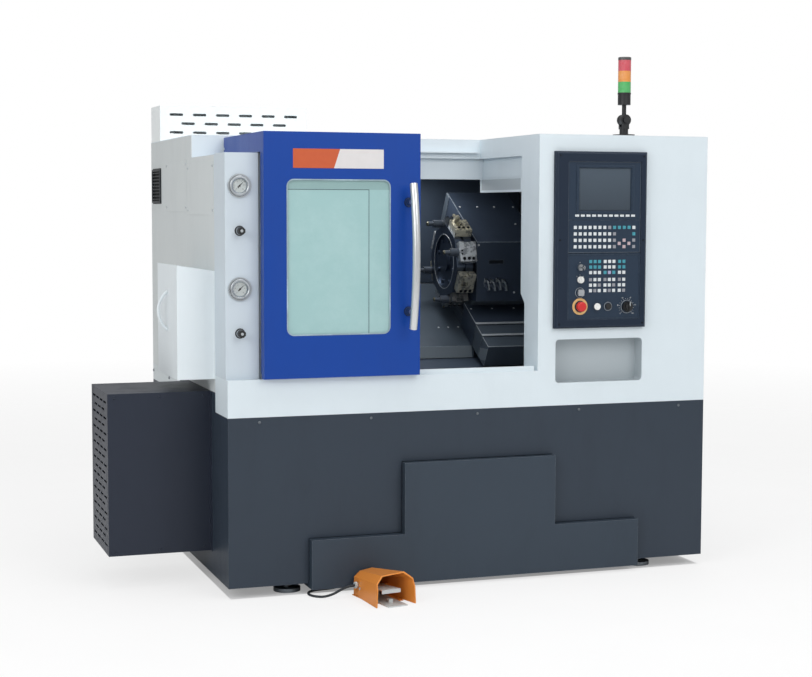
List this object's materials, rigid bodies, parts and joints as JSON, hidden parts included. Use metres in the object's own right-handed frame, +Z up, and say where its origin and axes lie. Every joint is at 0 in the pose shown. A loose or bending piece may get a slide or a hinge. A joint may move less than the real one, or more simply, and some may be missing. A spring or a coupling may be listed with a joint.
{
  "type": "turning lathe",
  "caption": "Enclosed slant-bed turning lathe with a sliding window door, tool turret, power chuck, control panel, signal lamp, coolant tank and corded foot switch.",
  "frame": {"origin": "on the floor, under the middle of the machine's length and depth, the cord left out", "axes": "+X runs right along the spindle axis from the headstock to the tailward end, +Y runs from the front face to the rear, +Z is up"},
  "size_m": [2.302, 1.7334, 1.999],
  "materials": {
    "casting": "painted casting",
    "base_paint": "satin powder coat",
    "dark_sheet": "satin powder coat",
    "panel_paint": "fine textured powder coat",
    "wall_paint": "fine textured powder coat",
    "door_paint": "satin powder coat",
    "chamber_steel": "satin",
    "cover_steel": "brushed",
    "machined_steel": "ground and oiled",
    "black_steel": "black oxide",
    "chrome": "polished",
    "glass": "clear laminated",
    "panel_frame": "textured",
    "panel_face": "matte",
    "red_plastic": "moulded",
    "white_plastic": "moulded",
    "black_plastic": "moulded",
    "grey_plastic": "moulded",
    "gauge_metal": "satin",
    "lens_plastic": "translucent moulded",
    "switch_paint": "gloss enamel",
    "zinc_plate": "zinc plated",
    "belt_rubber": "matte",
    "cord_rubber": "matte",
    "motor_paint": "satin"
  },
  "bodies": {
    "machine": {"bed_casting": "casting", "levelling_feet": "zinc_plate", "base_covers": "base_paint", "side_box": "dark_sheet", "hydraulic_unit": "motor_paint", "coolant_tank": "base_paint", "front_guard": "panel_paint", "guard_right": "panel_paint", "guard_left": "wall_paint", "gauge_column": "panel_paint", "headstock_guard": "wall_paint", "fascia": "panel_paint", "roof_panel": "panel_paint", "guard_rear": "wall_paint", "vent_box": "panel_paint", "spindle_end_cover": "wall_paint", "chamber_liner": "chamber_steel", "headstock": "casting", "spindle_motor": "motor_paint", "drive_belt": "belt_rubber", "panel_frame": "panel_frame", "display_unit": "panel_face", "operator_panel": "panel_face", "gauge_cases": "gauge_metal", "lamp_foot": "black_steel", "foot_switch_guard": "switch_paint", "foot_switch_base": "zinc_plate", "foot_switch_cord": "cord_rubber"},
    "door": {"door_shell": "door_paint", "door_window": "glass", "door_handle": "chrome"},
    "spindle": {"spindle": "machined_steel", "chuck_body": "machined_steel", "chuck_cylinder": "machined_steel"},
    "jaw_one": {"jaw_1": "machined_steel"},
    "jaw_two": {"jaw_2": "machined_steel"},
    "jaw_three": {"jaw_3": "machined_steel"},
    "motor_pulley": {"motor_pulley": "machined_steel"},
    "saddle": {"saddle": "casting", "saddle_covers": "cover_steel"},
    "cover_middle": {"cover_middle": "cover_steel"},
    "cross_slide": {"cross_slide": "casting", "slide_covers": "chamber_steel"},
    "turret": {"turret_disc": "machined_steel", "tool_holders": "zinc_plate"},
    "emergency_stop": {"emergency_stop": "red_plastic"},
    "start_button": {"start_button": "white_plastic"},
    "stop_button": {"stop_button": "black_plastic"},
    "guarded_button": {"guarded_button": "grey_plastic"},
    "override_knob": {"override_knob": "black_plastic"},
    "mode_selector": {"mode_selector": "white_plastic"},
    "key_switch": {"key_switch": "chrome"},
    "needle_upper": {"needle_upper": "black_steel"},
    "needle_lower": {"needle_lower": "black_steel"},
    "valve_knob_upper": {"valve_knob_upper": "black_plastic"},
    "valve_knob_lower": {"valve_knob_lower": "black_plastic"},
    "lamp": {"lamp_column": "black_plastic", "signal_lenses": "lens_plastic"},
    "treadle": {"foot_switch_treadle": "zinc_plate"},
    "cabinet_door": {"cabinet_door": "wall_paint"}
  },
  "joints": [
    {"name": "door_slide", "type": "slide", "parent": "machine", "child": "door", "axis": [1, 0, 0], "range_m": [0, 0.48]},
    {"name": "spindle_turn", "type": "hinge", "parent": "machine", "child": "spindle", "pos_m": [-0.168, -0.14331, 1], "axis": [1, 0, 0], "continuous": true},
    {"name": "jaw_one_slide", "type": "slide", "parent": "spindle", "child": "jaw_one", "axis": [0, 0, 1], "range_m": [-0.0027, 0]},
    {"name": "jaw_two_slide", "type": "slide", "parent": "spindle", "child": "jaw_two", "axis": [0, -0.866, -0.5], "range_m": [-0.0027, 0]},
    {"name": "jaw_three_slide", "type": "slide", "parent": "spindle", "child": "jaw_three", "axis": [0, 0.866, -0.5], "range_m": [-0.0027, 0]},
    {"name": "motor_pulley_turn", "type": "hinge", "parent": "machine", "child": "motor_pulley", "pos_m": [-0.478, 0.30042, 1.07144], "axis": [1, 0, 0], "continuous": true},
    {"name": "saddle_slide", "type": "slide", "parent": "machine", "child": "saddle", "axis": [1, 0, 0], "range_m": [-0.19, 0.06]},
    {"name": "cross_slide_travel", "type": "slide", "parent": "saddle", "child": "cross_slide", "axis": [0, 0.866, 0.5], "range_m": [-0.175, 0]},
    {"name": "cover_middle_travel", "type": "slide", "parent": "saddle", "child": "cover_middle", "axis": [0, 0.866, 0.5], "range_m": [-0.0875, 0]},
    {"name": "turret_index", "type": "hinge", "parent": "cross_slide", "child": "turret", "pos_m": [0.382, 0.18144, 1.1875], "axis": [1, 0, 0], "continuous": true},
    {"name": "start_button_press", "type": "slide", "parent": "machine", "child": "start_button", "axis": [0, 1, 0], "range_m": [0, 0.004], "stiffness_N_per_m": 350, "springref_m": -0.002},
    {"name": "stop_button_press", "type": "slide", "parent": "machine", "child": "stop_button", "axis": [0, 1, 0], "range_m": [0, 0.004], "stiffness_N_per_m": 350, "springref_m": -0.002},
    {"name": "guarded_button_press", "type": "slide", "parent": "machine", "child": "guarded_button", "axis": [0, 1, 0], "range_m": [0, 0.004], "stiffness_N_per_m": 350, "springref_m": -0.002},
    {"name": "emergency_stop_press", "type": "slide", "parent": "machine", "child": "emergency_stop", "axis": [0, 1, 0], "range_m": [0, 0.004]},
    {"name": "override_turn", "type": "hinge", "parent": "machine", "child": "override_knob", "pos_m": [0.797, -0.60332, 1.034], "axis": [0, 1, 0], "range_deg": [-135, 135]},
    {"name": "mode_turn", "type": "hinge", "parent": "machine", "child": "mode_selector", "pos_m": [0.599, -0.60332, 1.139], "axis": [0, 1, 0], "range_deg": [-45, 45]},
    {"name": "key_turn", "type": "hinge", "parent": "machine", "child": "key_switch", "pos_m": [0.599, -0.60332, 1.186], "axis": [0, 1, 0], "range_deg": [0, 90]},
    {"name": "needle_upper_swing", "type": "hinge", "parent": "machine", "child": "needle_upper", "pos_m": [-0.715, -0.54831, 1.487], "axis": [0, 1, 0], "range_deg": [-180, 90], "stiffness_Nm_per_rad": 0.004},
    {"name": "valve_upper_turn", "type": "hinge", "parent": "machine", "child": "valve_knob_upper", "pos_m": [-0.715, -0.56332, 1.327], "axis": [0, 1, 0], "range_deg": [-360, 360]},
    {"name": "needle_lower_swing", "type": "hinge", "parent": "machine", "child": "needle_lower", "pos_m": [-0.715, -0.54831, 1.119], "axis": [0, 1, 0], "range_deg": [-180, 90], "stiffness_Nm_per_rad": 0.004},
    {"name": "valve_lower_turn", "type": "hinge", "parent": "machine", "child": "valve_knob_lower", "pos_m": [-0.715, -0.56332, 0.96], "axis": [0, 1, 0], "range_deg": [-360, 360]},
    {"name": "lamp_tilt", "type": "hinge", "parent": "machine", "child": "lamp", "pos_m": [0.852, -0.44332, 1.755], "axis": [0, 1, 0], "range_deg": [-90, 90]},
    {"name": "treadle_press", "type": "hinge", "parent": "machine", "child": "treadle", "pos_m": [-0.25231, -0.68072, 0.034], "axis": [0.9857, 0.1685, 0], "range_deg": [0, 8], "stiffness_Nm_per_rad": 6, "springref_deg": -6.88},
    {"name": "cabinet_door_swing", "type": "hinge", "parent": "machine", "child": "cabinet_door", "pos_m": [1.019, 0.86169, 1.17], "axis": [0, 0, -1], "range_deg": [0, 105]}
  ],
  "couplings": [
    {"joint": "jaw_two_slide", "follows": "jaw_one_slide", "ratio": 1},
    {"joint": "jaw_three_slide", "follows": "jaw_one_slide", "ratio": 1},
    {"joint": "motor_pulley_turn", "follows": "spindle_turn", "ratio": 1.5833},
    {"joint": "cover_middle_travel", "follows": "cross_slide_travel", "ratio": 0.5}
  ]
}
